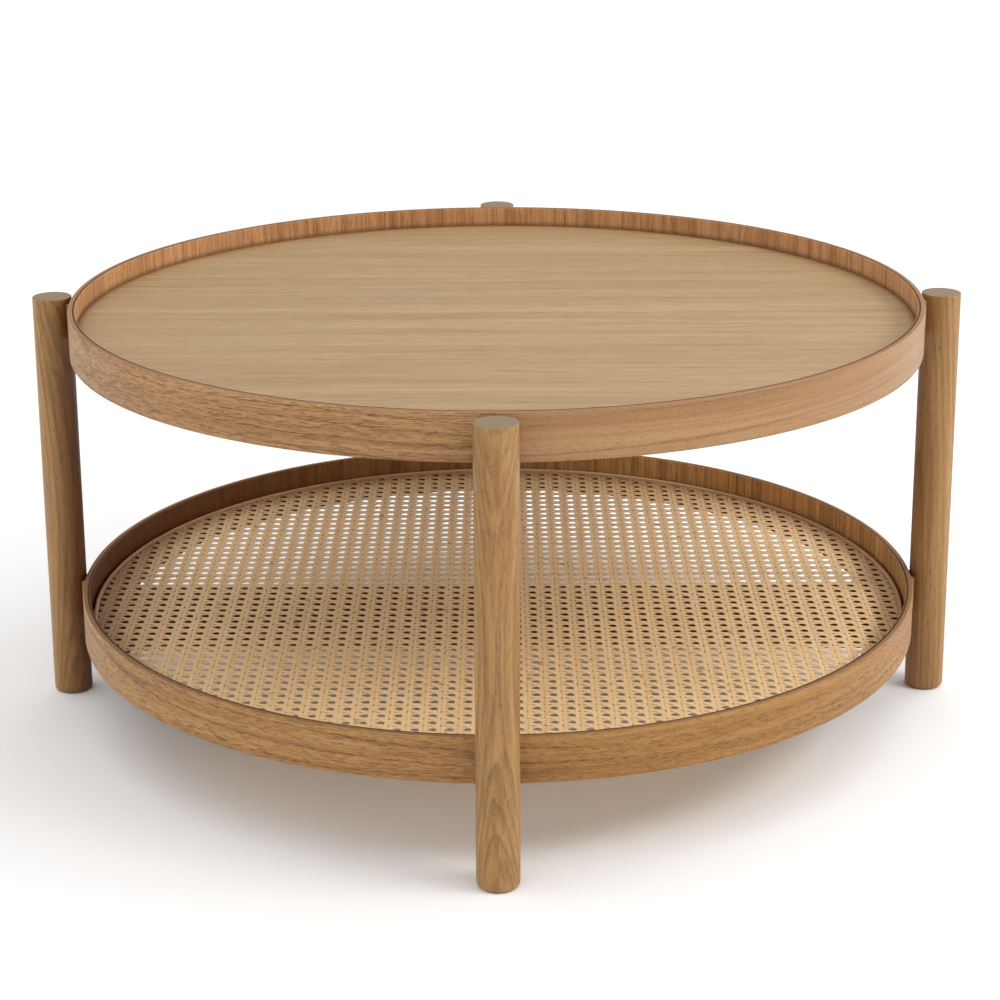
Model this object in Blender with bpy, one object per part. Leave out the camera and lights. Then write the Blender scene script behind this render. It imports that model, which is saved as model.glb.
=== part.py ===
"""Round two-tier coffee table: a veneered tray over a cane-webbed tray, on four dowel legs.

The origin is on the floor under the table's centre, +Z is up and the front leg is on the -Y side.
All lengths are in metres.
"""

import math

import bmesh
import bpy
from mathutils import Matrix

GAP = 0.0003  # clearance between pieces that touch
RING_FACETS = 96  # facets round every large circle
LEG_FACETS = 40
HARDWARE_FACETS = 12

# Trays: a bent-wood band round each one
TRAY_RADIUS = 0.4145
BAND_THICKNESS = 0.0070
BAND_HEIGHT = 0.0430
BAND_EDGE = 0.0008  # chamfer of a band's upper edges
TOP_BAND_Z = 0.3710  # lower edge of the top tray's band
LOWER_BAND_Z = 0.0836
TRAY_INSIDE = TRAY_RADIUS - BAND_THICKNESS

# Top tray: a veneered panel on a hidden ring and cross-board
PANEL_TOP_Z = 0.3940
PANEL_THICKNESS = 0.0094
SUPPORT_INNER = 0.3820  # inner radius of both support rings
TOP_SUPPORT_THICKNESS = 0.0130

# Lower tray: cane webbing on a ring, its edge held down by a round strip
LOWER_RING_Z = LOWER_BAND_Z + 0.0004
LOWER_RING_TOP = 0.0990
REBATE_Z = 0.0962  # floor of the step in which the strip lies
REBATE_RADIUS = 0.4008
CANE_RADIUS = 0.4006
CANE_THICKNESS = 0.0020
HOOP_INNER = 0.4012
HOOP_WIDTH = 0.0038
HOOP_TOP = 0.1038
HOOP_SHOULDER = 0.0013  # how far the strip's rounded top corners are cut back

# Cross-boards
CROSS_BOARD_WIDTH = 0.1580
TOP_CROSS_Y = 0.0
TOP_CROSS_THICKNESS = 0.0080
LOWER_CROSS_Y = -0.0330  # the lower one lies nearer the front
LOWER_CROSS_THICKNESS = 0.0075
NOTCH_HALF_WIDTH = 0.0100  # room at a board's ends for a bolt's head and its key
NOTCH_DEPTH = 0.0250

# Legs
LEG_RADIUS = 0.0190
LEG_HEIGHT = 0.4125
LEG_CIRCLE = 0.4357  # from the table's centre to a leg's axis
FOOT_ROUNDING = 0.0045
LEG_TOP_EDGE = 0.0006

# Spacer blocks between a leg and a band
SPACER_HALF_WIDTH = 0.0110
SPACER_HEIGHT = 0.0335
SPACER_RISE = 0.0025  # its lower end above the band's lower edge

# Bolts and threaded inserts
BOLT_RADIUS = 0.0030
BOLT_HEAD_RADIUS = 0.0055
BOLT_HEAD_HEIGHT = 0.0033
BOLT_HEAD_SEAT = SUPPORT_INNER - 0.0005
BOLT_TIP = LEG_CIRCLE - 0.0060
SOCKET_HALF_WIDTH = 0.0020
SOCKET_DEPTH = 0.0020
BORE_SPAN = (0.3750, 0.4200)  # from inside a support ring to beyond a spacer block
INSERT_BORE_ROOM = 0.0007  # behind an insert
INSERT_RADIUS = 0.0050
INSERT_MOUTH = LEG_CIRCLE - 0.0182
INSERT_LENGTH = 0.0130

STATIONS = {"front": 0, "right": 90, "back": 180, "left": 270}  # degrees round +Z from the front
TRAYS = {
    "top": {"band_z": TOP_BAND_Z, "bolt_z": 0.3778},
    "lower": {"band_z": LOWER_BAND_Z, "bolt_z": 0.0908},
}

# name: linear colour, roughness, metallic
FINISHES = {
    "band_wood": ((0.39, 0.22, 0.11), 0.55, 0.0),
    "panel_veneer": ((0.49, 0.34, 0.19), 0.45, 0.0),
    "cane": ((0.62, 0.41, 0.21), 0.60, 0.0),
    "hoop_wood": ((0.45, 0.28, 0.15), 0.60, 0.0),
    "frame_plywood": ((0.16, 0.068, 0.022), 0.70, 0.0),
    "leg_wood": ((0.32, 0.18, 0.08), 0.55, 0.0),
    "spacer_wood": ((0.52, 0.34, 0.19), 0.60, 0.0),
    "bolt_steel": ((0.55, 0.55, 0.56), 0.35, 1.0),
    "insert_brass": ((0.78, 0.58, 0.28), 0.40, 1.0),
}


def clear_scene():
    for obj in list(bpy.data.objects):
        bpy.data.objects.remove(obj, do_unlink=True)


def finish(name, kind):
    """A material of its own for one piece."""
    colour, roughness, metallic = FINISHES[kind]
    mat = bpy.data.materials.new(f"{name}_{kind}")
    mat.use_nodes = True
    shader = mat.node_tree.nodes["Principled BSDF"]
    shader.inputs["Base Color"].default_value = (*colour, 1.0)
    shader.inputs["Roughness"].default_value = roughness
    shader.inputs["Metallic"].default_value = metallic
    mat.diffuse_color = (*colour, 1.0)
    return mat


def to_mesh(bm, name):
    bmesh.ops.recalc_face_normals(bm, faces=bm.faces[:])
    mesh = bpy.data.meshes.new(name)
    bm.to_mesh(mesh)
    bm.free()
    mesh.shade_smooth()
    mesh.set_sharp_from_angle(angle=math.radians(32))
    return mesh


def place(name, mesh, kind, location=(0, 0, 0), rotation=(0, 0, 0), parent=None):
    obj = bpy.data.objects.new(name, mesh)
    obj.location = location
    obj.rotation_euler = rotation
    obj.parent = parent
    bpy.context.scene.collection.objects.link(obj)
    if kind:
        # the finish sits on the object, because pieces of one kind share a mesh
        if not mesh.materials:
            mesh.materials.append(None)
        obj.material_slots[0].link = "OBJECT"
        obj.material_slots[0].material = finish(name, kind)
    return obj


def revolved(name, profile, facets):
    """A ring from a closed profile of (radius, height) corners, spun round the Z axis."""
    bm = bmesh.new()
    verts = [bm.verts.new((radius, 0, z)) for radius, z in profile]
    edges = [bm.edges.new((a, b)) for a, b in zip(verts, verts[1:] + verts[:1])]
    bmesh.ops.spin(
        bm, geom=verts + edges, axis=(0, 0, 1), cent=(0, 0, 0), angle=math.tau, steps=facets, use_merge=True
    )
    return to_mesh(bm, name)


def disc(name, radius, thickness):
    """A flat round plate standing on z = 0."""
    bm = bmesh.new()
    bmesh.ops.create_circle(bm, cap_ends=True, radius=radius, segments=RING_FACETS)
    lift(bm, thickness)
    return to_mesh(bm, name)


def prism(name, outline, thickness):
    """A plate with the outline's (x, y) corners, standing on z = 0."""
    bm = bmesh.new()
    bm.faces.new([bm.verts.new((x, y, 0)) for x, y in outline])
    lift(bm, thickness)
    return to_mesh(bm, name)


def lift(bm, thickness):
    """Extrudes every face of a flat outline upwards into a solid."""
    made = bmesh.ops.extrude_face_region(bm, geom=bm.faces[:], use_keep_orig=True)
    top = [v for v in made["geom"] if isinstance(v, bmesh.types.BMVert)]
    bmesh.ops.translate(bm, verts=top, vec=(0, 0, thickness))


def lofted(name, rings):
    """A solid from rings of the same number of points, capped at its first and last ring."""
    bm = bmesh.new()
    loops = [[bm.verts.new(point) for point in ring] for ring in rings]
    for below, above in zip(loops, loops[1:]):
        for i in range(len(below)):
            j = (i + 1) % len(below)
            bm.faces.new((below[i], below[j], above[j], above[i]))
    bm.faces.new(loops[0])
    bm.faces.new(loops[-1])
    return to_mesh(bm, name)


def circle_ring(radius, z, facets):
    angles = (math.tau * i / facets for i in range(facets))
    return [(radius * math.cos(a), radius * math.sin(a), z) for a in angles]


def hexagon_ring(half_width, z, facets):
    """Points on a hexagon's outline at the same angles as a circle's."""
    points = []
    for i in range(facets):
        a = math.tau * i / facets
        radius = half_width / math.cos((a + math.pi / 6) % (math.pi / 3) - math.pi / 6)
        points.append((radius * math.cos(a), radius * math.sin(a), z))
    return points


def radial_bores(name, radius, start, end, heights):
    """Cutter: cylinders along every station's direction from start to end, at each height."""
    bm = bmesh.new()
    for angle in STATIONS.values():
        for z in heights:
            made = bmesh.ops.create_cone(
                bm, cap_ends=True, segments=HARDWARE_FACETS, radius1=radius, radius2=radius, depth=end - start
            )
            bmesh.ops.rotate(bm, verts=made["verts"], matrix=turn("X", 90))
            bmesh.ops.translate(bm, verts=made["verts"], vec=(0, -(start + end) / 2, z))
            bmesh.ops.rotate(bm, verts=made["verts"], matrix=turn("Z", angle))
    cutter = place(name, to_mesh(bm, name), None)
    cutter.hide_render = True
    cutter.display_type = "WIRE"
    return cutter


def turn(axis, degrees):
    return Matrix.Rotation(math.radians(degrees), 3, axis)


def cut(obj, cutter):
    boolean = obj.modifiers.new("bores", "BOOLEAN")
    boolean.operation = "DIFFERENCE"
    boolean.object = cutter


def band_mesh(name):
    """Bent-wood band standing on z = 0, its two upper edges chamfered."""
    inside, outside, top = TRAY_INSIDE, TRAY_RADIUS, BAND_HEIGHT
    profile = [
        (inside, 0),
        (outside, 0),
        (outside, top - BAND_EDGE),
        (outside - BAND_EDGE, top),
        (inside + BAND_EDGE, top),
        (inside, top - BAND_EDGE),
    ]
    return revolved(name, profile, RING_FACETS)


def cross_board_mesh(name, centre_y, thickness):
    """Board across a support ring: round ends that follow the ring, each with a notch for a bolt."""
    reach = SUPPORT_INNER - 0.0004
    low, high = centre_y - CROSS_BOARD_WIDTH / 2, centre_y + CROSS_BOARD_WIDTH / 2
    steps = 4
    below = [low + (-NOTCH_HALF_WIDTH - low) * i / steps for i in range(steps + 1)]
    above = [NOTCH_HALF_WIDTH + (high - NOTCH_HALF_WIDTH) * i / steps for i in range(steps + 1)]
    right = [(math.sqrt(reach**2 - y**2), y) for y in below]
    right += [(reach - NOTCH_DEPTH, -NOTCH_HALF_WIDTH), (reach - NOTCH_DEPTH, NOTCH_HALF_WIDTH)]
    right += [(math.sqrt(reach**2 - y**2), y) for y in above]
    left = [(-x, y) for x, y in reversed(right)]
    return prism(name, right + left, thickness)


def spacer_mesh(name):
    """Block that fits a band's outer face on one side and a leg's round side on the other."""
    steps = 8
    across = [SPACER_HALF_WIDTH * (2 * i / steps - 1) for i in range(steps + 1)]
    band_side = [(x, -math.sqrt((TRAY_RADIUS + GAP) ** 2 - x**2)) for x in across]
    leg_side = [(x, -LEG_CIRCLE + math.sqrt((LEG_RADIUS + GAP) ** 2 - x**2)) for x in reversed(across)]
    return prism(name, band_side + leg_side, SPACER_HEIGHT)


def leg_mesh(name):
    """Dowel with a rounded foot and a slightly eased top edge."""
    steps = 3
    rings = []
    for i in range(steps + 1):
        a = math.pi / 2 * i / steps
        radius = LEG_RADIUS - FOOT_ROUNDING * (1 - math.sin(a))
        rings.append(circle_ring(radius, FOOT_ROUNDING * (1 - math.cos(a)), LEG_FACETS))
    rings.append(circle_ring(LEG_RADIUS, LEG_HEIGHT - LEG_TOP_EDGE, LEG_FACETS))
    rings.append(circle_ring(LEG_RADIUS - LEG_TOP_EDGE, LEG_HEIGHT, LEG_FACETS))
    return lofted(name, rings)


def bolt_mesh(name):
    """Socket-head bolt along +Z, the underside of its head at z = 0."""
    top, length, n = -BOLT_HEAD_HEIGHT, BOLT_TIP - BOLT_HEAD_SEAT, HARDWARE_FACETS
    return lofted(
        name,
        [
            hexagon_ring(SOCKET_HALF_WIDTH, top + SOCKET_DEPTH, n),
            hexagon_ring(SOCKET_HALF_WIDTH, top, n),
            circle_ring(BOLT_HEAD_RADIUS - 0.0005, top, n),
            circle_ring(BOLT_HEAD_RADIUS, top + 0.0005, n),
            circle_ring(BOLT_HEAD_RADIUS, 0, n),
            circle_ring(BOLT_RADIUS, 0, n),
            circle_ring(BOLT_RADIUS, length, n),
        ],
    )


def insert_mesh(name):
    """Threaded insert: a sleeve along +Z with a clear bore for the bolt."""
    bore = BOLT_RADIUS + GAP
    profile = [(bore, 0), (INSERT_RADIUS, 0), (INSERT_RADIUS, INSERT_LENGTH), (bore, INSERT_LENGTH)]
    return revolved(name, profile, HARDWARE_FACETS)


def build_top_tray(bores):
    cut(place("top_tray_band", band_mesh("top_tray_band"), "band_wood", (0, 0, TOP_BAND_Z)), bores)
    panel = disc("top_tray_panel", TRAY_INSIDE - GAP, PANEL_THICKNESS)
    panel_z = PANEL_TOP_Z - PANEL_THICKNESS
    place("top_tray_panel", panel, "panel_veneer", (0, 0, panel_z))
    under = panel_z - GAP
    inside, outside = SUPPORT_INNER, TRAY_INSIDE - GAP
    low = under - TOP_SUPPORT_THICKNESS
    ring = revolved(
        "top_support_ring", [(inside, low), (outside, low), (outside, under), (inside, under)], RING_FACETS
    )
    cut(place("top_support_ring", ring, "frame_plywood"), bores)
    board = cross_board_mesh("top_cross_board", TOP_CROSS_Y, TOP_CROSS_THICKNESS)
    place("top_cross_board", board, "frame_plywood", (0, 0, under - TOP_CROSS_THICKNESS))


def build_lower_tray(bores):
    cut(place("lower_tray_band", band_mesh("lower_tray_band"), "band_wood", (0, 0, LOWER_BAND_Z)), bores)
    inside, outside = SUPPORT_INNER, TRAY_INSIDE - GAP
    stepped = [
        (inside, LOWER_RING_Z),
        (outside, LOWER_RING_Z),
        (outside, REBATE_Z),
        (REBATE_RADIUS, REBATE_Z),
        (REBATE_RADIUS, LOWER_RING_TOP),
        (inside, LOWER_RING_TOP),
    ]
    ring = revolved("lower_support_ring", stepped, RING_FACETS)
    cut(place("lower_support_ring", ring, "frame_plywood"), bores)
    board = cross_board_mesh("lower_cross_board", LOWER_CROSS_Y, LOWER_CROSS_THICKNESS)
    place("lower_cross_board", board, "frame_plywood", (0, 0, LOWER_RING_Z))
    cane = disc("cane_webbing", CANE_RADIUS, CANE_THICKNESS)
    place("cane_webbing", cane, "cane", (0, 0, LOWER_RING_TOP + GAP))
    outer, seat, shoulder = HOOP_INNER + HOOP_WIDTH, REBATE_Z + GAP, HOOP_TOP - HOOP_SHOULDER
    rounded = [
        (HOOP_INNER, seat),
        (outer, seat),
        (outer, shoulder),
        (outer - HOOP_SHOULDER, HOOP_TOP),
        (HOOP_INNER + HOOP_SHOULDER, HOOP_TOP),
        (HOOP_INNER, shoulder),
    ]
    place("cane_retaining_hoop", revolved("cane_retaining_hoop", rounded, RING_FACETS), "hoop_wood")


def build_stations(bores, insert_bores):
    """Leg, spacer blocks, bolts and inserts at each station. Along -Y they point away from the centre."""
    leg, spacer = leg_mesh("leg"), spacer_mesh("spacer")
    bolt, insert = bolt_mesh("bolt"), insert_mesh("insert")
    outwards = (math.radians(90), 0, 0)  # turns +Z to -Y
    for side, angle in STATIONS.items():
        station = bpy.data.objects.new(f"station_{side}", None)
        station.rotation_euler = (0, 0, math.radians(angle))
        bpy.context.scene.collection.objects.link(station)
        cut(place(f"leg_{side}", leg, "leg_wood", (0, -LEG_CIRCLE, 0), parent=station), insert_bores)
        for tray, level in TRAYS.items():
            at = (0, 0, level["band_z"] + SPACER_RISE)
            cut(place(f"spacer_{tray}_{side}", spacer, "spacer_wood", at, parent=station), bores[tray])
            at = (0, -BOLT_HEAD_SEAT, level["bolt_z"])
            place(f"bolt_{tray}_{side}", bolt, "bolt_steel", at, outwards, station)
            at = (0, -INSERT_MOUTH, level["bolt_z"])
            place(f"insert_{tray}_{side}", insert, "insert_brass", at, outwards, station)


def build_table():
    bores = {
        tray: radial_bores(f"{tray}_bores", BOLT_RADIUS + GAP, *BORE_SPAN, [level["bolt_z"]])
        for tray, level in TRAYS.items()
    }
    insert_bores = radial_bores(
        "insert_bores",
        INSERT_RADIUS + GAP,
        LEG_CIRCLE - LEG_RADIUS - 0.0020,
        INSERT_MOUTH + INSERT_LENGTH + INSERT_BORE_ROOM,
        [level["bolt_z"] for level in TRAYS.values()],
    )
    build_top_tray(bores["top"])
    build_lower_tray(bores["lower"])
    build_stations(bores, insert_bores)


clear_scene()
build_table()
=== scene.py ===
"""Looks of the round two-tier coffee table: bent-wood trays, dowel legs and a shelf of woven cane.

Lengths are in metres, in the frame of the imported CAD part: +Z up, the front leg on the -Y side.
"""

import math

import bpy
import numpy as np
from mathutils import Matrix, Vector


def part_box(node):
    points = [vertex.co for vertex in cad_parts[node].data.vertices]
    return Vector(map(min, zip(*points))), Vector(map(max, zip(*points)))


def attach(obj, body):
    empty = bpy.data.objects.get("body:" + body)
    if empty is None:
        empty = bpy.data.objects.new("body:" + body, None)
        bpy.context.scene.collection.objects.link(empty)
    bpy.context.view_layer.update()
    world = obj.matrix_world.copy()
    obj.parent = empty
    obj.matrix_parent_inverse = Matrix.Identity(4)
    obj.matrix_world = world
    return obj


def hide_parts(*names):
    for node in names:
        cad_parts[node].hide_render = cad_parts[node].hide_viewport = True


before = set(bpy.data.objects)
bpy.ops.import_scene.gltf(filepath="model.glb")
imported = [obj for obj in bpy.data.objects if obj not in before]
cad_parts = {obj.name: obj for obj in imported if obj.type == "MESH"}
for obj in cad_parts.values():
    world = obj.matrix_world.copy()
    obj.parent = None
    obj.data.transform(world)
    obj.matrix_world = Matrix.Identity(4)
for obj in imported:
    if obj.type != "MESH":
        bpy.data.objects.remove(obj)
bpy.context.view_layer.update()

RANDOM = np.random.default_rng(42)
GAP = 0.0003  # clearance between pieces, as in the CAD
FINE = 384  # facets round a large circle

# ---- sizes read from the CAD boxes
TOP_LOW, TOP_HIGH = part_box("top_tray_band")
LOWER_LOW, LOWER_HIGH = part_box("lower_tray_band")
PANEL_LOW, PANEL_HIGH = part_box("top_tray_panel")
CANE_LOW, CANE_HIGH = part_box("cane_webbing")
HOOP_LOW, HOOP_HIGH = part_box("cane_retaining_hoop")
TRAY_RADIUS = TOP_HIGH.x
TRAY_INSIDE = PANEL_HIGH.x + GAP
CANE_RADIUS = CANE_HIGH.x
CANE_MIDDLE = (CANE_LOW.z + CANE_HIGH.z) / 2 + 0.0001

# sizes that a box doesn't show, as in the CAD
RING_INSIDE = 0.3820
REBATE_RADIUS = 0.4008
REBATE_DEPTH = 0.0028
HOOP_WIDTH = 0.0038
HOOP_JOINT, HOOP_JOINT_AT = 0.0011, math.radians(128)  # the gap between the strip's ends, and its place
NOTCH_HALF_WIDTH = 0.0100
NOTCH_DEPTH = 0.0250

# radii of the rounded edges
BAND_ROUNDING = (0.0006, 0.0006, 0.0011, 0.0009)  # inner lower, outer lower, outer upper, inner upper
HOOP_ROUNDING = (0.0005, 0.0005, 0.0016, 0.0016)
PANEL_ROUNDING = 0.0006
BOARD_ROUNDING = 0.0005
SPACER_ROUNDING = 0.0009
LEG_FOOT_ROUNDING, LEG_TOP_ROUNDING = 0.0045, 0.0009

SIDES = {"front": -90, "right": 0, "back": 90, "left": 180}  # degrees round +Z from +X

PITCH = 0.01547  # of the cane's mesh: from one hole to the next, along X and along Y
PHASE_X, PHASE_Y = -0.0042, -0.0062  # a pair's middle line nearest the centre
CROSSING_X, CROSSING_Y = 0.0013, 0.0032  # half sizes of the brown speck of painted shade where two pairs cross


# ---- materials
def srgb(red, green, blue):
    """Linear colour from 0-255 display values."""
    out = []
    for value in (red, green, blue):
        v = value / 255
        out.append(v / 12.92 if v <= 0.04045 else ((v + 0.055) / 1.055) ** 2.4)
    return (*out, 1.0)


class Graph:
    """A material or world being built: adds nodes, and joins them to sockets or sets plain values."""

    def __init__(self, name, kind=bpy.data.materials):
        self.owner = kind.new(name)
        self.owner.use_nodes = True
        self.tree = self.owner.node_tree

    def feed(self, socket, value):
        if isinstance(value, bpy.types.NodeSocket):
            self.tree.links.new(value, socket)
        else:
            socket.default_value = value

    def node(self, kind, inputs=(), **settings):
        made = self.tree.nodes.new("ShaderNode" + kind)
        for key, value in settings.items():
            setattr(made, key, value)
        for key, value in dict(inputs).items():
            self.feed(made.inputs[key], value)
        return made

    def attribute(self, name, output="Vector"):
        return self.node("Attribute", attribute_name=name).outputs[output]

    def place(self):
        return self.node("TexCoord").outputs["Object"]

    def split(self, vector):
        return self.node("SeparateXYZ", {0: vector}).outputs

    def join(self, x=0.0, y=0.0, z=0.0):
        return self.node("CombineXYZ", {0: x, 1: y, 2: z}).outputs[0]

    def math(self, operation, a, b=0.0, c=0.0, clamp=False):
        return self.node("Math", {0: a, 1: b, 2: c}, operation=operation, use_clamp=clamp).outputs[0]

    def times(self, a, b, clamp=False):
        return self.math("MULTIPLY", a, b, clamp=clamp)

    def scaled(self, a, b, c):
        """a * b + c"""
        return self.math("MULTIPLY_ADD", a, b, c)

    def rest(self, a):
        """1 - a"""
        return self.math("SUBTRACT", 1.0, a)

    def vector(self, operation, a, b=(0, 0, 0), c=(0, 0, 0)):
        made = self.node("VectorMath", {0: a, 1: b}, operation=operation)
        if operation == "MULTIPLY_ADD":
            self.feed(made.inputs[2], c)
        return made.outputs["Value" if operation in ("LENGTH", "DISTANCE") else "Vector"]

    def noise(self, vector, scale=(1, 1, 1), shift=(0, 0, 0), detail=2.0, roughness=0.5):
        """Smooth noise from 0 to 1; scale is its number of features per metre along each axis."""
        at = self.vector("MULTIPLY_ADD", vector, scale, shift)
        inputs = {"Vector": at, "Scale": 1.0, "Detail": detail, "Roughness": roughness}
        return self.node("TexNoise", inputs).outputs["Fac"]

    def step(self, value, low, high):
        """0 below low, 1 above high, smooth between them."""
        inputs = {"Value": value, "From Min": low, "From Max": high}
        return self.node("MapRange", inputs, interpolation_type="SMOOTHSTEP").outputs["Result"]

    def mix(self, factor, a, b, blend="MIX"):
        made = self.node("Mix", {0: factor, 6: a, 7: b}, data_type="RGBA", blend_type=blend)
        return made.outputs[2]

    def shaded(self, colour, shade):
        """The colour multiplied by a value."""
        return self.mix(1.0, colour, self.join(shade, shade, shade), "MULTIPLY")

    def tones(self, value, *stops):
        """Colour ramp; each stop is (position, colour)."""
        made = self.node("ValToRGB", {0: value})
        elements = made.color_ramp.elements
        while len(elements) < len(stops):
            elements.new(0.5)
        for element, (position, colour) in zip(elements, stops):
            element.position = position
            element.color = colour
        return made.outputs["Color"]

    def finish(self, colour, roughness, height=None, relief=0.0002, **fixed):
        shader = self.tree.nodes["Principled BSDF"]
        self.feed(shader.inputs["Base Color"], colour)
        self.feed(shader.inputs["Roughness"], roughness)
        if height is not None:
            bump = self.node("Bump", {"Height": height, "Distance": relief, "Strength": 1.0})
            self.feed(shader.inputs["Normal"], bump.outputs["Normal"])
        for key, value in fixed.items():
            shader.inputs[key.replace("_", " ")].default_value = value
        return self.owner


# features per metre of the noises in every wood: along its fibres, across them and up
SWAY_RATE = (2.2, 11, 11)
RIPPLE_RATE = (14, 60, 60)
FIBRE_RATE = (22, 1500, 1500)
MOTTLE_RATE = (420, 700, 700)
PORE_PATCH_RATE = (5, 45, 45)
RING_WARP_RATE = (1.6, 9, 9)
RING_DRIFT_RATE = (0.6, 60, 60)
RING_BREAK_RATE = (5, 30, 30)
PORE_RATE_ACROSS = 1550
RIPPLE = 0.0022  # how far the ripple moves the fibres aside
RING_PEAK, RING_FALL = 0.93, 0.94  # where in a ring's width its dark line is full, and begins to fade


def ring_lines(g, look, grain, flow):
    """Growth rings: 1 on their dark lines, 0 between. They lie round a heart, or side by side."""
    rings, seed = look["rings"], look["seed"]
    if "heart" in rings:
        distance = g.vector("DISTANCE", g.vector("MULTIPLY", flow, (0, 1, 1)), (0, *rings["heart"]))
    else:
        warp = g.noise(grain, RING_WARP_RATE, (seed, 7.0, 0.0), detail=2)
        distance = g.scaled(warp, rings["warp"], g.split(flow)[1])
        distance = g.scaled(g.split(grain)[0], rings["lean"], distance)
    drift = g.times(g.noise(flow, RING_DRIFT_RATE, (seed, 9.0, 1.0), detail=1), look["uneven"])
    phase = g.math("FRACT", g.scaled(distance, 1 / rings["period"], drift))
    rise = g.step(phase, rings["start"], RING_PEAK)
    fall = g.rest(g.step(phase, RING_FALL, 1.0))
    return g.times(rise, fall)


def wood_layers(g, look):
    """Colour, pore mask and fibre value of a wood, over its grain coordinates: X runs along the fibres."""
    seed = look["seed"]
    grain = g.attribute("grain")
    sway = g.noise(grain, SWAY_RATE, (seed, 0, 3.1), detail=2)
    ripple = g.noise(grain, RIPPLE_RATE, (1.7, seed, 0), detail=2)
    aside = g.scaled(sway, look["sway"], g.times(ripple, RIPPLE))
    flow = g.vector("ADD", grain, g.join(y=aside))

    run, spread, narrow = look["run"], look["spread"], look["narrow"]
    broad = g.noise(flow, (run, spread, spread), (seed, 2.0, 1.0), 3, 0.6)
    streak = g.noise(flow, (run * 2.5, narrow, narrow), (seed, 5.0, 2.0), 4, 0.65)
    fibre = g.noise(flow, FIBRE_RATE, (seed, 1.0, 4.0), 2, 0.6)
    mottle = g.noise(grain, MOTTLE_RATE, (seed, 6.0, 2.0), 2, 0.6)
    broad_part = g.times(g.step(broad, 0.3, 0.7), 1 - look["streaks"])
    figure = g.scaled(g.step(streak, 0.28, 0.72), look["streaks"], broad_part)
    colour = g.tones(figure, (0.0, look["dark"]), (0.5, look["mid"]), (1.0, look["pale"]))

    pore_rate = (look["pore_run"], PORE_RATE_ACROSS, PORE_RATE_ACROSS)
    pore = g.noise(flow, pore_rate, (seed, 3.0, 8.0), detail=1.5)
    patch = g.noise(flow, PORE_PATCH_RATE, (seed, 8.0, 5.0), detail=2)
    level = g.scaled(patch, -0.16, look["pores"] + 0.08)
    pores = g.step(g.math("SUBTRACT", pore, level), 0.0, 0.06)
    if look["rings"]:
        line = ring_lines(g, look, grain, flow)
        broken = g.step(g.noise(flow, RING_BREAK_RATE, (seed, 4.0, 4.0), detail=1), 0.30, 0.55)
        strength = g.times(g.times(line, broken), look["rings"]["strength"])
        colour = g.mix(strength, colour, look["rings"]["colour"])
        # pores are fewer between the rings' lines
        pores = g.times(pores, g.scaled(line, 0.5, 0.7), clamp=True)
    colour = g.mix(g.times(pores, look["pore_depth"]), colour, look["pore"])
    shade = g.scaled(fibre, look["fibre"], 1 - look["fibre"] / 2 - look["mottle"] / 2)
    shade = g.scaled(mottle, look["mottle"], shade)
    colour = g.shaded(colour, shade)
    return colour, pores, fibre


def wood(name, look, *extras):
    """Satin wood. Each extra(graph, colour) changes the colour at the end."""
    g = Graph(name)
    colour, pores, fibre = wood_layers(g, look)
    for extra in extras:
        colour = extra(g, colour)
    roughness = g.scaled(fibre, 0.16, look["roughness"] - 0.08)
    roughness = g.scaled(pores, 0.2, roughness)
    height = g.scaled(pores, -1.0, g.times(fibre, 0.35))
    return g.finish(colour, roughness, height, look["relief"], Specular_IOR_Level=look["gloss"])


# A wood's look. run, spread: broad figure per metre along and across the fibres; narrow: fine streaks per
# metre across; streaks: their part in the figure; sway: how far the fibres bend aside; fibre, mottle: how
# much these change the brightness; pores: lower means more of them; pore_run: pores per metre along;
# uneven: how unequal the rings' widths are; relief: depth of the pores. Rings: period is their width, start
# the part of it where the dark line begins, warp and lean how they bend and slope.
PLAIN_LOOK = dict(
    seed=0.0, streaks=0.5, run=1.3, spread=26, narrow=190, sway=0.004, fibre=0.16, mottle=0.0, rings=None,
    uneven=1.0, pores=0.62, pore_depth=0.6, pore_run=95, roughness=0.45, relief=0.00012, gloss=0.5,
)
BAND_LEFT_LOOK = dict(
    PLAIN_LOOK, seed=3.0,
    pale=srgb(182, 138, 88), mid=srgb(170, 125, 74), dark=srgb(146, 101, 54),
    mottle=0.14,
    streaks=0.6, sway=0.016, pores=0.525, pore=srgb(96, 54, 22), pore_depth=0.8, pore_run=110, fibre=0.26,
    rings=dict(period=0.0120, warp=0.030, lean=0.05, strength=0.5, colour=srgb(104, 69, 38), start=0.78),
)
BAND_RIGHT_LOOK = dict(
    PLAIN_LOOK, seed=7.0,
    pale=srgb(172, 133, 88), mid=srgb(157, 115, 71), dark=srgb(138, 96, 53),
    mottle=0.5, streaks=0.45, sway=0.010, pores=0.62, pore=srgb(104, 66, 38), pore_run=260, fibre=0.22,
    rings=dict(period=0.0165, warp=0.018, lean=-0.02, strength=0.6, colour=srgb(128, 84, 48), start=0.82),
)
BAND_LOWER_LOOK = dict(
    BAND_LEFT_LOOK, seed=17.0,
    pale=srgb(185, 140, 81), mid=srgb(171, 124, 65), dark=srgb(145, 98, 48),
    rings=dict(period=0.0150, warp=0.040, lean=0.03, strength=0.45, colour=srgb(112, 74, 38), start=0.74),
)
BAND_LOWER_RIGHT_LOOK = dict(
    BAND_LOWER_LOOK, seed=19.0,
    pale=srgb(175, 131, 73), mid=srgb(160, 115, 61), dark=srgb(137, 93, 45),
    mottle=0.3, pores=0.55, pore_depth=0.65, pore_run=150, gloss=0.3,
)
INNER_LOOK = dict(
    PLAIN_LOOK, seed=11.0,
    pale=srgb(200, 151, 106), mid=srgb(184, 133, 88), dark=srgb(152, 102, 62),
    sway=0.006, streaks=0.75, pores=0.60, pore=srgb(98, 58, 32), pore_run=55, mottle=0.08, gloss=0.22,
)
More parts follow.
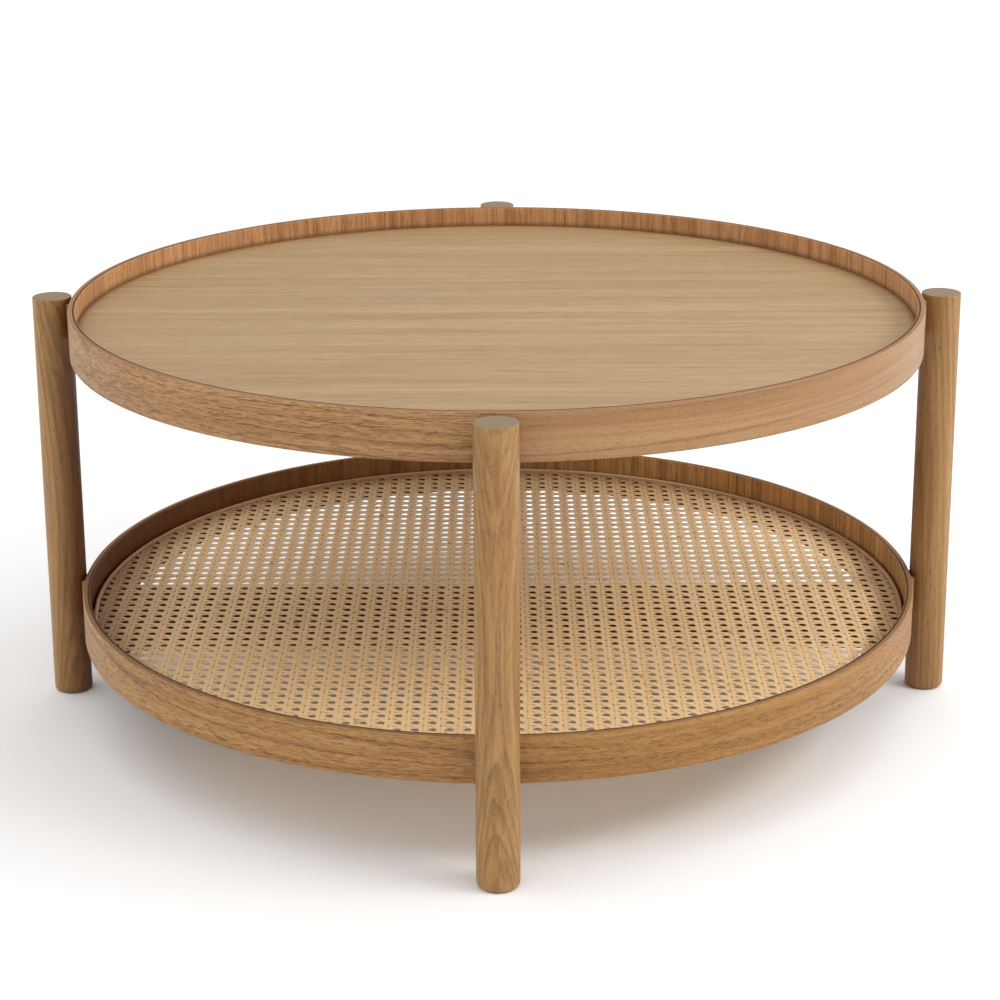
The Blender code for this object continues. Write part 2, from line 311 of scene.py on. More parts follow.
SHELF_INNER_LOOK = dict(
    INNER_LOOK, seed=13.0,
    pale=srgb(170, 116, 68), mid=srgb(148, 96, 51), dark=srgb(108, 66, 33),
    pore=srgb(74, 42, 21), gloss=0.2,
)
PANEL_LOOK = dict(
    PLAIN_LOOK, seed=21.0,
    pale=srgb(176, 149, 111), mid=srgb(163, 135, 97), dark=srgb(146, 117, 80),
    streaks=0.6, run=1.5, spread=34, narrow=420, sway=0.010, fibre=0.14, mottle=0.06,
    pores=0.60, pore=srgb(112, 82, 52), pore_depth=0.6, pore_run=26, relief=0.00006, gloss=0.22,
    rings=dict(period=0.0155, warp=0.080, lean=0.0, strength=0.30, colour=srgb(138, 108, 72), start=0.72),
)
LEG_LOOK = dict(
    PLAIN_LOOK, seed=31.0,
    pale=srgb(181, 141, 88), mid=srgb(163, 122, 71), dark=srgb(138, 97, 52),
    streaks=0.6,
    rings=dict(period=0.0058, heart=(0.0, 0.0), strength=0.42, colour=srgb(112, 78, 42), start=0.35),
    pores=0.60, pore=srgb(92, 62, 34), pore_depth=0.5, pore_run=90, fibre=0.34, uneven=2.2, gloss=0.38,
)
SPACER_LOOK = dict(
    PLAIN_LOOK, seed=41.0,
    pale=srgb(176, 138, 92), mid=srgb(160, 121, 76), dark=srgb(138, 99, 58),
    streaks=0.6, pore=srgb(98, 68, 40),
)
# painted shade: the plywood's colours are darker than its wood's own, for the shade it lies in under the
# cane
PLY_LOOK = dict(
    PLAIN_LOOK, seed=51.0,
    pale=srgb(130, 88, 52), mid=srgb(112, 73, 41), dark=srgb(88, 55, 30),
    sway=0.03,
    rings=dict(period=0.0240, warp=0.240, lean=0.0, strength=0.35, colour=srgb(70, 42, 23), start=0.5),
    pores=0.64, pore=srgb(52, 32, 18), roughness=0.62,
)


def radius_of(g):
    return g.vector("LENGTH", g.vector("MULTIPLY", g.place(), (1, 1, 0)))


def height_of(g):
    return g.split(g.place())[2]


PLY_WOBBLE = 0.0003  # how far the lines between plies stray
PLY_BLUR = 0.00012  # half the width over which one ply turns into the next


def ply_edge(name, axis_value, low, layers, dullness, seed):
    """End of a laminated board. axis_value(graph) is its height or radius, which starts at low; each layer
    is (thickness, colour)."""
    g = Graph(name)
    grain = g.attribute("grain")
    wobble = g.noise(grain, (18, 300, 300), (seed, 0, 0), detail=2)
    at = g.math("SUBTRACT", axis_value(g), low + PLY_WOBBLE / 2)
    at = g.scaled(wobble, PLY_WOBBLE, at)
    colour = layers[0][1]
    edge = 0.0
    for (thickness, _), (_, upper) in zip(layers, layers[1:]):
        edge += thickness
        colour = g.mix(g.step(at, edge - PLY_BLUR, edge + PLY_BLUR), colour, upper)
    fibre = g.noise(grain, (60, 1700, 1700), (seed, 4.0, 1.0), detail=3, roughness=0.7)
    blotch = g.noise(grain, (9, 90, 90), (seed, 1.0, 6.0), detail=2)
    shade = g.scaled(fibre, 0.35, g.scaled(blotch, 0.3, 0.675))
    colour = g.shaded(colour, shade)
    roughness = g.scaled(fibre, 0.2, dullness)
    return g.finish(colour, roughness, fibre, 0.00015, Specular_IOR_Level=0.2)


CORNER_WIDTH = 0.008  # of the painted shade along the panel's rim
FOOT_HEIGHT = 0.006  # of the painted shade along the inner veneer's lower edge


def painted_rim_shade(g, colour):
    """Painted shade: the panel is darker in the corner along its rim."""
    near_rim = g.step(radius_of(g), TRAY_INSIDE - CORNER_WIDTH, TRAY_INSIDE - 2 * GAP)
    return g.mix(g.times(near_rim, 0.7), colour, srgb(104, 68, 40))


KNOT_CELLS = (13, 17, 9)  # cells per metre along the fibres, across and outwards
KNOT_EDGE = (0.018, 0.042)  # from a knot's dark middle to its outline, in cells
KNOTLESS_CELLS = 0.60  # part of the cells that hold no knot


def specks(g, colour):
    """A few small dark knots in the bands' veneers."""
    spread = g.vector("MULTIPLY", g.attribute("grain"), KNOT_CELLS)
    cells = g.node("TexVoronoi", {"Vector": spread, "Scale": 1.0, "Randomness": 1.0})
    spot = g.rest(g.step(cells.outputs["Distance"], *KNOT_EDGE))
    few = g.step(g.split(cells.outputs["Color"])[0], KNOTLESS_CELLS, KNOTLESS_CELLS + 0.01)
    return g.mix(g.times(g.times(spot, few), 0.7), colour, srgb(84, 48, 28))


def painted_left_shade(g, colour):
    """Painted shade: the shelf's inner veneer is darkened towards the left, and its colour is brightened
    elsewhere.
    """
    left = g.rest(g.step(g.split(g.place())[0], -0.45, 0.32))
    bright = g.mix(1.0, colour, (1.65, 2.15, 2.5, 1), "MULTIPLY")
    return g.mix(g.times(left, 0.92), bright, srgb(88, 42, 8))


def painted_inner_shade(g, colour):
    """Painted shade: the dowels are browner on the side that the attribute tone marks, the side that faces
    in under the trays.
    """
    tone = g.attribute("tone", "Fac")
    browner = g.mix(1.0, colour, (0.30, 0.14, 0.05, 1), "MULTIPLY")
    return g.mix(g.times(tone, tone), colour, browner)


def painted_foot_shade(g, colour):
    """Painted shade: the inner veneer is darker along its lower edge, in its corner with the panel."""
    up = g.split(g.attribute("grain"))[0]
    low = g.rest(g.step(up, PANEL_HIGH.z, PANEL_HIGH.z + FOOT_HEIGHT))
    return g.mix(g.times(low, 0.55), colour, srgb(96, 56, 32))


def end_grain():
    """Sawn ends of the dowels: growth rings and open pores, greyed."""
    g = Graph("leg_end_grain")
    grain = g.attribute("grain")
    flat = g.vector("MULTIPLY", grain, (0, 1, 1))
    wobble = g.noise(flat, (1, 90, 90), detail=2)
    distance = g.scaled(wobble, RIPPLE, g.vector("LENGTH", flat))
    phase = g.math("FRACT", g.math("DIVIDE", distance, LEG_LOOK["rings"]["period"]))
    fall = g.rest(g.step(phase, RING_PEAK, 1.0))
    ring = g.times(g.step(phase, 0.3, 0.9), fall)
    dots = g.step(g.noise(flat, (1, 1900, 1900), detail=1), 0.56, 0.66)
    saw = g.noise(grain, (1, 160, 420), (3.0, 0, 0), detail=3)
    colour = g.mix(ring, srgb(138, 118, 92), srgb(124, 103, 77))
    colour = g.mix(g.times(dots, 0.6), colour, srgb(82, 64, 46))
    shade = g.scaled(saw, 0.5, 0.75)
    colour = g.shaded(colour, shade)
    return g.finish(colour, g.scaled(saw, 0.2, 0.6), g.math("SUBTRACT", saw, dots), 0.00012)


def cane_material():
    """Split rattan: every strand has its own tone, with fine fibres and darker stretches along it."""
    g = Graph("cane_strands")
    grain = g.attribute("grain")
    tone = g.attribute("tone", "Fac")
    stretch = g.noise(grain, (7, 40, 1), detail=3)
    fibre = g.noise(grain, (45, 3300, 1), (0, 0, 5.0), detail=2, roughness=0.6)
    value = g.scaled(stretch, 0.5, g.times(tone, 0.75))
    # from the strands' darkest stretches to their palest
    colour = g.tones(
        value,
        (0.12, srgb(201, 157, 102)),
        (0.42, srgb(235, 197, 142)),
        (0.62, srgb(241, 206, 155)),
        (0.92, srgb(246, 216, 171)),
    )
    pink = g.step(g.noise(grain, (3, 3, 1), (9.0, 0, 2.0), detail=1), 0.56, 0.70)
    colour = g.mix(g.times(pink, 0.3), colour, srgb(204, 156, 116))
    dark = g.step(fibre, 0.60, 0.72)
    colour = g.mix(g.times(dark, 0.5), colour, srgb(132, 88, 48))
    # painted shade: darker and browner at the left, at the back and over the ring
    x, y = g.split(g.place())[:2]
    painted_far_shade = g.rest(g.times(g.step(x, -0.43, -0.28), g.step(y, 0.44, 0.10)))
    colour = g.mix(g.times(painted_far_shade, 0.75), colour, srgb(136, 94, 54))
    over_ring = g.step(radius_of(g), RING_INSIDE - 0.012, RING_INSIDE + 0.006)
    colour = g.mix(g.times(over_ring, 0.35), colour, srgb(140, 98, 58))
    # painted shade: a brown speck in the gap where two pairs cross, missing at some of them
    off_x = g.math("PINGPONG", g.math("SUBTRACT", x, PHASE_X), PITCH / 2)
    off_y = g.math("PINGPONG", g.math("SUBTRACT", y, PHASE_Y), PITCH / 2)
    beside = g.math("DIVIDE", off_x, CROSSING_X)
    beyond = g.math("DIVIDE", off_y, CROSSING_Y)
    painted_gap_speck = g.rest(g.step(g.vector("LENGTH", g.join(beside, beyond)), 0.4, 1.0))
    speck_patches = g.step(g.noise(g.place(), (170, 170, 1), (4.0, 1.0, 0), detail=2), 0.32, 0.60)
    colour = g.mix(g.times(painted_gap_speck, g.times(speck_patches, 0.8)), colour, srgb(128, 74, 38))
    knot = g.step(g.noise(grain, (28, 6, 1), (2.0, 7.0, 1.0), detail=1), 0.72, 0.76)
    colour = g.mix(g.times(knot, 0.5), colour, srgb(128, 88, 52))
    roughness = g.scaled(fibre, 0.25, 0.38)
    return g.finish(colour, roughness, fibre, 0.00012, Specular_IOR_Level=0.35)


def hoop_material():
    """The round reed strip that holds the cane's edge."""
    g = Graph("hoop_reed")
    grain = g.attribute("grain")
    tone = g.noise(grain, (4, 70, 70), detail=3)
    fibre = g.noise(grain, (30, 2600, 2600), (4.0, 0, 0), detail=3, roughness=0.65)
    colour = g.tones(
        tone,
        (0.30, srgb(170, 128, 92)),
        (0.50, srgb(194, 152, 113)),
        (0.72, srgb(212, 174, 136)),
    )
    colour = g.mix(g.times(g.step(fibre, 0.56, 0.72), 0.4), colour, srgb(130, 90, 60))
    return g.finish(colour, g.scaled(fibre, 0.2, 0.45), fibre, 0.0002)


def metal(name, colour, dull, roughness):
    """Plated metal with fine scratches and dull patches."""
    g = Graph(name)
    place = g.place()
    patch = g.noise(place, (420, 420, 420), detail=3)
    scratch = g.noise(place, (300, 2600, 2600), detail=2)
    tint = g.mix(g.step(patch, 0.42, 0.64), colour, dull)
    rough = g.scaled(scratch, 0.22, roughness - 0.06)
    return g.finish(tint, rough, scratch, 0.00003, Metallic=1.0)


MATERIALS = {
    "band_left": wood("band_left_veneer", BAND_LEFT_LOOK),
    "band_lower": wood("band_lower_veneer", BAND_LOWER_LOOK),
    "band_lower_right": wood("band_lower_right_veneer", BAND_LOWER_RIGHT_LOOK, specks),
    "band_right": wood("band_right_veneer", BAND_RIGHT_LOOK, specks),
    "band_inner": wood("band_inner_veneer", INNER_LOOK, specks, painted_foot_shade),
    "shelf_inner": wood("shelf_inner_veneer", SHELF_INNER_LOOK, specks, painted_left_shade),
    "band_edge": ply_edge(
        "band_edge_plies", radius_of, TRAY_INSIDE,
        [(0.0014, srgb(104, 68, 40)), (0.0012, srgb(58, 28, 12)), (0.0044, srgb(146, 108, 72))],
        0.5, 2.0,
    ),
    "panel": wood("panel_veneer_face", PANEL_LOOK, painted_rim_shade),
    "leg": wood("leg_dowel", LEG_LOOK, painted_inner_shade),
    "leg_end": end_grain(),
    "spacer": wood("spacer_block", SPACER_LOOK),
    "ply": wood("plywood_face", PLY_LOOK),
    "ply_edge": ply_edge(
        "plywood_edge", lambda g: g.math("PINGPONG", height_of(g), 0.0014), 0.0,
        [(0.0007, srgb(118, 80, 48)), (0.0007, srgb(76, 48, 28))], 0.6, 6.0,
    ),
    "cane": cane_material(),
    "hoop": hoop_material(),
    "steel": metal("zinc_plated_steel", srgb(188, 190, 192), srgb(140, 140, 138), 0.32),
    "brass": metal("turned_brass", srgb(212, 178, 106), srgb(160, 126, 70), 0.34),
}


# ---- meshes
def piece(name, verts, faces, materials, replaced, grain, kinds=None, tone=None, sharp=38):
    """Makes a piece of the object. grain is a vector for each face corner, or for each vertex of strands;
    kinds says which of the materials each face takes; tone is a value for each vertex."""
    mesh = bpy.data.meshes.new(name)
    mesh.from_pydata(verts, [], faces)
    mesh.shade_smooth()
    mesh.set_sharp_from_angle(angle=math.radians(sharp))
    grain = np.asarray(grain, dtype=np.float32)
    domain = "POINT" if len(grain) == len(verts) else "CORNER"
    mesh.attributes.new("grain", "FLOAT_VECTOR", domain).data.foreach_set("vector", grain.ravel())
    if tone is not None:
        tones = mesh.attributes.new("tone", "FLOAT", "POINT")
        tones.data.foreach_set("value", np.asarray(tone, dtype=np.float32))
    for key in materials:
        mesh.materials.append(MATERIALS[key])
    if kinds is not None:
        mesh.polygons.foreach_set("material_index", np.asarray(kinds, dtype=np.int32))
    mesh.update()
    obj = bpy.data.objects.new(name, mesh)
    bpy.context.scene.collection.objects.link(obj)
    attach(obj, "root")
    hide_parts(*replaced)


def rounded(r0, r1, z0, z1, corners, steps=4):
    """Closed (radius, height) profile of a ring's section; corners are the radii of its four edges, from
    the inner lower one by the outer ones to the inner upper one."""
    points = []
    signs = [(r0, z0, 1, 1), (r1, z0, -1, 1), (r1, z1, -1, -1), (r0, z1, 1, -1)]
    for (r, z, sr, sz), round_, start in zip(signs, corners, (180, 270, 0, 90)):
        for i in range(steps + 1):
            a = math.radians(start + 90 * i / steps)
            points.append((r + sr * round_ + round_ * math.cos(a), z + sz * round_ + round_ * math.sin(a)))
    return points


def ring_mesh(profile, facets=FINE, gap=0.0, start=0.0):
    """A profile spun round +Z. With a gap in radians it is a strip whose two ends nearly meet at start."""
    profile = np.array(profile)
    count = len(profile)
    turns = facets if gap == 0 else facets + 1
    angles = start + gap / 2 + np.arange(turns) * (math.tau - gap) / facets
    verts = np.stack(
        [
            np.outer(np.cos(angles), profile[:, 0]),
            np.outer(np.sin(angles), profile[:, 0]),
            np.tile(profile[:, 1], (turns, 1)),
        ],
        axis=-1,
    ).reshape(-1, 3)
    faces = []
    for i in range(facets):
        a, b = i * count, ((i + 1) % turns) * count
        for k in range(count):
            n = (k + 1) % count
            faces.append((a + k, b + k, b + n, a + n))
    if gap:
        last = (turns - 1) * count
        faces.append(tuple(range(count - 1, -1, -1)))
        faces.append(tuple(last + k for k in range(count)))
    return verts, faces


def round_grain(verts, faces, radius, upright=()):
    """Grain coordinates round a ring, for each face corner: along the arc, up and outwards.
    Faces listed in upright have their fibres along +Z."""
    out = []
    upright = set(upright)
    for number, face in enumerate(faces):
        points = verts[list(face)]
        middle = math.atan2(points[:, 1].mean(), points[:, 0].mean())
        if middle < -math.pi / 2:
            middle += math.tau  # so that the seam in the arc's length lies behind the front leg
        for x, y, z in points:
            turn = math.atan2(y, x) - middle
            turn -= math.tau * round(turn / math.tau)
            arc, out_by = radius * (middle + turn), math.hypot(x, y)
            out.append((z, arc, out_by) if number in upright else (arc, z, out_by))
    return out


def band(name, low, high):
    """A tray's rim: its outer, inner and edge faces take different veneers."""
    profile = rounded(TRAY_INSIDE, TRAY_RADIUS, low.z, high.z, BAND_ROUNDING)
    verts, faces = ring_mesh(profile)
    count = len(profile)
    kinds = []
    for k in range(count):
        (r, z), (r2, z2) = profile[k], profile[(k + 1) % count]
        outward = (z2 - z) / math.hypot(r2 - r, z2 - z)
        kinds.append(0 if outward > 0.5 else 1 if outward < -0.5 else 2)
    kinds = kinds * FINE
    upright = [i for i, kind in enumerate(kinds) if kind == 1]
    grain = round_grain(verts, faces, TRAY_RADIUS, upright)
    shelf = low.z < PANEL_LOW.z - 0.1
    if shelf:  # its veneers aren't cut from the same stretch of wood as the upper rim's
        grain = [(x + 7.3, y + 0.9, z) for x, y, z in grain]
    for number, face in enumerate(faces):
        if kinds[number] == 0 and verts[list(face), 0].mean() < 0:
            kinds[number] = 3  # the joints between the two outer veneers lie behind the front and back legs
    keys = ("band_right", "band_inner", "band_edge", "band_left")
    if shelf:
        keys = ("band_lower_right", "shelf_inner", "band_edge", "band_lower")
    piece(f"{name}_wood", verts, faces, keys, [name], grain, kinds)


def lathe(profile, facets):
    """A solid of revolution from an open profile that starts and ends on the axis."""
    verts, faces = [(0.0, 0.0, profile[0][1])], []
    inner = profile[1:-1]
    for r, z in inner:
        for i in range(facets):
            a = math.tau * i / facets
            verts.append((r * math.cos(a), r * math.sin(a), z))
    verts.append((0.0, 0.0, profile[-1][1]))
    for i in range(facets):
        j = (i + 1) % facets
        faces.append((0, 1 + j, 1 + i))
        for k in range(len(inner) - 1):
            a, b = 1 + k * facets, 1 + (k + 1) * facets
            faces.append((a + i, a + j, b + j, b + i))
        last = 1 + (len(inner) - 1) * facets
        faces.append((last + i, last + j, len(verts) - 1))
    return np.array(verts), faces


def arc_points(centre, radius, start, end, steps):
    """Points on an arc in the (radius, height) plane, angles in degrees."""
    out = []
    for i in range(steps + 1):
        a = math.radians(start + (end - start) * i / steps)
        out.append((centre[0] + radius * math.cos(a), centre[1] + radius * math.sin(a)))
    return out


# Grain of each leg. turn: how it is turned, in degrees; heart: how far off the dowel's middle the tree's
# heart lies; bow, lean: how the fibres bend and slope away from it, about the height middle; shift: moves
# its figure along; dark, amount: the side that gets painted shade, facing in under the trays, as a
# direction, and how much.
LEG_GRAIN = {
    "front": dict(
        turn=90, heart=0.064, bow=-0.62, middle=0.215, lean=0.0, shift=0.0, dark=(0, -1), amount=0.0,
    ),
    "right": dict(
        turn=30, heart=0.070, bow=0.10, middle=0.10, lean=0.020, shift=2.4, dark=(-1, 0), amount=0.6,
    ),
    "back": dict(
        turn=250, heart=0.038, bow=0.40, middle=0.30, lean=-0.020, shift=5.1, dark=(0, -1), amount=0.4,
    ),
    "left": dict(
        turn=125, heart=0.060, bow=-0.45, middle=0.20, lean=0.0, shift=8.8, dark=(1, 0), amount=1.0,
    ),
}


LEG_LEVELS, LEG_FACETS = 42, 96


def leg(side):
    """A dowel with a rounded foot and a barely eased, sawn top."""
    low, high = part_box(f"leg_{side}")
    centre = (low + high) / 2
    radius = (high.y - low.y) / 2
    foot, top = LEG_FOOT_ROUNDING, LEG_TOP_ROUNDING
    bottom_r = radius - foot
    heights = np.linspace(foot, high.z - top, LEG_LEVELS)
    profile = [(0.0, 0.0), (bottom_r * 0.5, 0.0)]
    profile += arc_points((bottom_r, foot), foot, -90, 0, 8)
    profile += [(radius, z) for z in heights[1:-1]]
    profile += arc_points((radius - top, high.z - top), top, 0, 90, 4)
    profile += [((radius - top) * 0.5, high.z), (0.0, high.z)]
    verts, faces = lathe(profile, LEG_FACETS)
    g = LEG_GRAIN[side]
    turn = math.radians(g["turn"])
    grain, kinds = [], []
    for face in faces:
        points = verts[list(face)]
        kinds.append(1 if points[:, 2].min() > high.z - top * 0.35 or points[:, 2].max() < 0.0002 else 0)
        for x, y, z in points:
            off = z - g["middle"]
            across = x * math.cos(turn) + y * math.sin(turn)
            deep = -x * math.sin(turn) + y * math.cos(turn)
            bow = g["bow"] * off * off + g["lean"] * off
            grain.append((z + g["shift"], deep, across + g["heart"] + bow))
    # painted shade: tone darkens the side of the dowel that faces in under the trays
    towards = verts[:, :2] @ np.array(g["dark"]) / radius
    tone = g["amount"] * np.clip(0.5 + 0.5 * towards, 0, 1)
    verts = verts + np.array((centre.x, centre.y, 0.0))
    name, keys = f"leg_{side}", ("leg", "leg_end")
    piece(f"{name}_dowel", verts, faces, keys, [name], grain, kinds, tone)


def panel():
    """The upper tray's veneered board, its edges eased."""
    r, low, high = PANEL_HIGH.x, PANEL_LOW.z, PANEL_HIGH.z
    eased = PANEL_ROUNDING
    profile = [(0.0, low), (r * 0.3, low), (r * 0.6, low)]
    profile += arc_points((r - eased, low + eased), eased, -90, 0, 3)
    profile += arc_points((r - eased, high - eased), eased, 0, 90, 4)
    profile += [(r * f, high) for f in (0.95, 0.8, 0.6, 0.4, 0.2, 0.0)]
    verts, faces = lathe(profile, FINE)
    grain = [tuple(verts[i]) for face in faces for i in face]
    name = "top_tray_veneered_panel"
    piece(name, verts, faces, ("panel",), ["top_tray_panel"], grain)


def hoop():
    """Half-round strip in the groove round the cane; its two ends meet at the back left."""
    inner, outer = HOOP_HIGH.x - HOOP_WIDTH, HOOP_HIGH.x
    profile = rounded(inner, outer, HOOP_LOW.z, HOOP_HIGH.z, HOOP_ROUNDING, steps=5)
    verts, faces = ring_mesh(profile, gap=HOOP_JOINT, start=HOOP_JOINT_AT)
    grain = round_grain(verts, faces, HOOP_HIGH.x)
    name = "cane_retaining_strip"
    piece(name, verts, faces, ("hoop",), ["cane_retaining_hoop"], grain)


def support_ring(name, profile):
    """Plywood ring: veneer on its flat faces, plies on its round ones."""
    verts, faces = ring_mesh(profile)
    count = len(profile)
    kinds = []
    for k in range(count):
        (r, z), (r2, z2) = profile[k], profile[(k + 1) % count]
        kinds.append(0 if abs(r2 - r) > abs(z2 - z) else 1)
    kinds = kinds * FINE
    grain = []
    for number, face in enumerate(faces):
        if kinds[number] == 0:
            grain += [tuple(verts[i]) for i in face]
        else:
            grain += round_grain(verts, [face], HOOP_HIGH.x)
    piece(f"{name}_ply", verts, faces, ("ply", "ply_edge"), [name], grain, kinds)


def support_rings():
    """The upper ring is a plain one; the lower one has a rebate for the cane's edge and the strip on it."""
    low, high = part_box("top_support_ring")
    eased = BOARD_ROUNDING
    support_ring("top_support_ring", rounded(RING_INSIDE, high.x, low.z, high.z, (eased,) * 4, 3))
    low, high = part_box("lower_support_ring")
    inner, step_z = RING_INSIDE + eased, high.z - REBATE_DEPTH
    profile = [
        *arc_points((inner, low.z + eased), eased, 180, 270, 3),
        *arc_points((high.x - eased, low.z + eased), eased, 270, 360, 3),
        (high.x, step_z),
        (REBATE_RADIUS, step_z),
        (REBATE_RADIUS, high.z),
        *arc_points((inner, high.z - eased), eased, 90, 180, 3),
    ]
    support_ring("lower_support_ring", profile)


def prism(outline, low, high, eased, steps=3):
    """Solid over an outline, its edges rounded above and below. The last value returned is 1 for each face
    of the sides and 0 for the two flat ones."""
    outline = np.array(outline)
    count = len(outline)
    ahead = np.roll(outline, -1, axis=0) - outline
    normal = np.stack([ahead[:, 1], -ahead[:, 0]], axis=1)
    normal /= np.linalg.norm(normal, axis=1)[:, None]
    inward = -(normal + np.roll(normal, 1, axis=0))
    inward /= np.linalg.norm(inward, axis=1)[:, None]
    levels = []
    for i in range(steps + 1):
        a = math.pi / 2 * i / steps
        levels.append((eased * (1 - math.sin(a)), low + eased * (1 - math.cos(a))))
    for i in range(steps + 1):
        a = math.pi / 2 * (1 - i / steps)
        levels.append((eased * (1 - math.sin(a)), high - eased * (1 - math.cos(a))))
    verts = []
    for inset, z in levels:
        ring = outline + inward * inset
        verts += [(x, y, z) for x, y in ring]
    faces, side = [], []
    for k in range(len(levels) - 1):
        for i in range(count):
            j = (i + 1) % count
            a, b = k * count, (k + 1) * count
            faces.append((a + i, a + j, b + j, b + i))
            side.append(1)
    faces.append(tuple(range(count - 1, -1, -1)))
    faces.append(tuple((len(levels) - 1) * count + i for i in range(count)))
    side += [0, 0]
    return np.array(verts), faces, side


def cross_board(name):
    """Board across a support ring: round ends that follow the ring, each with a notch for a bolt."""
    low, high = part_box(name)
    reach = RING_INSIDE - 0.0004  # 0.4 mm clear of the ring
    steps = 12
    below = np.linspace(low.y, -NOTCH_HALF_WIDTH, steps)
    above = np.linspace(NOTCH_HALF_WIDTH, high.y, steps)
    right = [(math.sqrt(reach**2 - y**2), y) for y in below]
    right += [(reach - NOTCH_DEPTH, -NOTCH_HALF_WIDTH), (reach - NOTCH_DEPTH, NOTCH_HALF_WIDTH)]
    right += [(math.sqrt(reach**2 - y**2), y) for y in above]
    left = [(-x, y) for x, y in reversed(right)]
    verts, faces, side = prism(right + left, low.z, high.z, BOARD_ROUNDING)
    shift = 1.6 if low.z < PANEL_LOW.z / 2 else 0.0  # so that the two boards' grain differs
    grain = [(verts[i][0] + shift, verts[i][1], verts[i][2]) for face in faces for i in face]
    piece(f"{name}_ply", verts, faces, ("ply", "ply_edge"), [name], grain, side)


def spacer(tray, side):
    """Block that fits the band's outer face on one side and the leg's round side on the other."""
    name = f"spacer_{tray}_{side}"
    low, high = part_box(name)
    leg_low, leg_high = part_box(f"leg_{side}")
    circle = max(abs((leg_low.x + leg_high.x) / 2), abs((leg_low.y + leg_high.y) / 2))
    leg_radius = (leg_high.x - leg_low.x) / 2 + GAP
    half = (high.x - low.x) / 2 if side in ("front", "back") else (high.y - low.y) / 2
    steps = 16
    across = np.linspace(-half, half, steps + 1)
    band_side = [(math.sqrt((TRAY_RADIUS + GAP) ** 2 - t * t), t) for t in across]
    leg_side = [(circle - math.sqrt(leg_radius**2 - t * t), t) for t in across]
    turn = math.radians(SIDES[side])
    verts, faces, _ = prism(leg_side + band_side[::-1], low.z, high.z, SPACER_ROUNDING)
    rotated = verts @ np.array(Matrix.Rotation(turn, 3, "Z")).T
    # turn also moves the figure along, so that the four blocks differ
    grain = [(verts[i][2] + turn, verts[i][1], verts[i][0]) for face in faces for i in face]
    piece(f"{name}_block", rotated, faces, ("spacer",), [name], grain)


# ---- cane
# from a pair's middle line to each strand of it, and that strand's width
LENGTHWISE_OFFSET, LENGTHWISE_WIDTH = 0.00212, 0.0033
CROSSWISE_OFFSET, CROSSWISE_WIDTH = 0.00250, 0.0039
STRAND_THICKNESS = 0.0005
DIAGONAL_WIDTH, DIAGONAL_THICKNESS = 0.0040, 0.0004
CANE_EDGE = CANE_RADIUS + 0.0002  # the strands end in the rebate, under the strip
# heights of the strands' middles over the cane's middle
OVER, UNDER = 0.00026, -0.00026  # where strands of two pairs cross
TOP_LAYER, MIDDLE_LAYER, BOTTOM_LAYER = 0.00045, 0.00000, -0.00040  # between the crossings
SHORTEST_IN = 0.004  # a strand that runs nearer to the cane's edge than this is left out
DIAGONAL_FLAT = 0.0024  # a diagonal keeps its height this far to both sides of a crossing
STRAY, STRAY_POINTS = 0.00020, 9  # how far strands wander aside, and at how many points
TONE_MEAN, TONE_SPREAD = 0.45, 0.09  # of the strands' own tones, from 0 to 1


def strand(path, side_way, width, thickness, run, seed):
    """Vertices of one strand along a path, domed on top, and their grain coordinates."""
    n = len(path)
    half = width / 2
    low, shoulder, crown = -thickness * 0.5, thickness * 0.22, thickness * 0.5
    section = [(-half, low), (half, low), (half, shoulder), (0.0, crown), (-half, shoulder)]
    verts = np.zeros((n, 5, 3))
    grain = np.zeros((n, 5, 3))
    for k, (aside, up) in enumerate(section):
        verts[:, k] = path + np.outer(np.full(n, aside), side_way)
        verts[:, k, 2] += up
        grain[:, k] = np.stack([run, np.full(n, aside + seed * 0.05), np.full(n, seed)], axis=1)
    return verts.reshape(-1, 3), grain.reshape(-1, 3)


def strand_faces(n, first):
    """Faces of a strand of n sections, whose vertices start at number first."""
    base = first + 5 * np.arange(n - 1)[:, None]
    k = np.arange(5)[None, :]
    nxt = (k + 1) % 5
    quads = np.stack([base + k, base + nxt, base + 5 + nxt, base + 5 + k], axis=-1).reshape(-1, 4)
    last = first + 5 * (n - 1)
    ends = [tuple(range(first + 4, first - 1, -1)), tuple(range(last, last + 5))]
    return [tuple(q) for q in quads.tolist()] + ends


def strand_path(reach, crossings):
    """Distances along a strand and its heights there: at every crossing and halfway to the next."""
    crossings = sorted(crossings)
    places = np.array([c[0] for c in crossings])
    heights = np.array([c[1] for c in crossings])
    at = np.sort(np.concatenate([places, (places[:-1] + places[1:]) / 2]))
    height = np.interp(at, places, heights)
    inside = np.abs(at) < reach - 0.0003  # none so near the ends that a face would be a sliver
    ends = np.array([-reach, reach])
    end_heights = np.interp(ends, at, height)
    at = np.concatenate([ends[:1], at[inside], ends[1:]])
    return at, np.concatenate([end_heights[:1], height[inside], end_heights[1:]])


